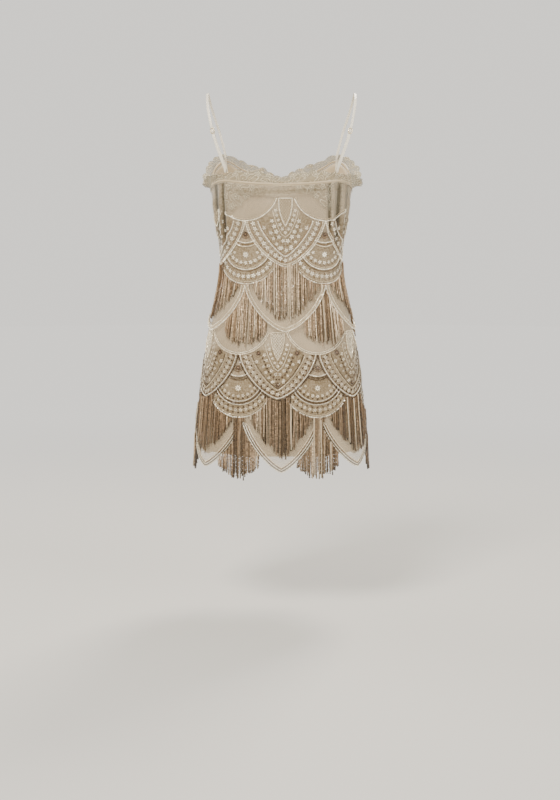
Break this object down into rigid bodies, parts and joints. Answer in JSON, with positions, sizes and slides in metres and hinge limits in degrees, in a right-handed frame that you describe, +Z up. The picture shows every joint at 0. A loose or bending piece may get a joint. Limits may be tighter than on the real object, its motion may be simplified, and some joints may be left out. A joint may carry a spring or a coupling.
{
  "type": "camisole dress",
  "caption": "Short camisole dress of net over a plain slip, with beaded scallops, tiers of bead fringe, lace at the top edge and narrow straps.",
  "frame": {"origin": "midway between the undersides of the two straps at the top of the shoulders, where the wearer holds the dress up", "axes": "+Z up, -Y towards the front of the dress, +Y towards its back, X across the shoulders"},
  "size_m": [0.3624, 0.2562, 0.768],
  "materials": {
    "slip_satin": "smooth satin, champagne",
    "overlay_net": "sheer net, champagne, with beadwork",
    "lace": "fine scalloped lace, matt",
    "binding": "folded satin strip",
    "strap_satin": "cream satin",
    "metal": "polished, pale gold",
    "fringe": "bugle beads and sequins on threads, cream to rose bronze, glossy"
  },
  "bodies": {
    "root": {"binding_back": "binding", "binding_front": "binding", "lace_back_falling": "lace", "lace_back_standing": "lace", "lace_front_falling": "lace", "lace_front_standing": "lace", "overlay_back": "overlay_net", "overlay_front": "overlay_net", "slip_back": "slip_satin", "slip_front": "slip_satin", "strap_left": "strap_satin", "strap_right": "strap_satin", "strap_ring_left": "metal", "strap_ring_right": "metal", "strap_slider_left": "metal", "strap_slider_right": "metal", "strap_tab_left": "strap_satin", "strap_tab_right": "strap_satin", "tier1_back_fan_1": "fringe", "tier1_back_fan_2": "fringe", "tier1_back_shield_1": "fringe", "tier1_back_shield_2": "fringe", "tier1_back_shield_3": "fringe", "tier1_front_fan_1": "fringe", "tier1_front_fan_2": "fringe", "tier1_front_shield_1": "fringe", "tier1_front_shield_2": "fringe", "tier1_front_shield_3": "fringe", "tier2_back_fan_1": "fringe", "tier2_back_fan_2": "fringe", "tier2_back_fan_3": "fringe", "tier2_back_fan_4": "fringe", "tier2_back_shield_1": "fringe", "tier2_back_shield_2": "fringe", "tier2_back_shield_3": "fringe", "tier2_front_fan_1": "fringe", "tier2_front_fan_2": "fringe", "tier2_front_fan_3": "fringe", "tier2_front_fan_4": "fringe", "tier2_front_shield_1": "fringe", "tier2_front_shield_2": "fringe", "tier2_front_shield_3": "fringe"}
  },
  "joints": []
}
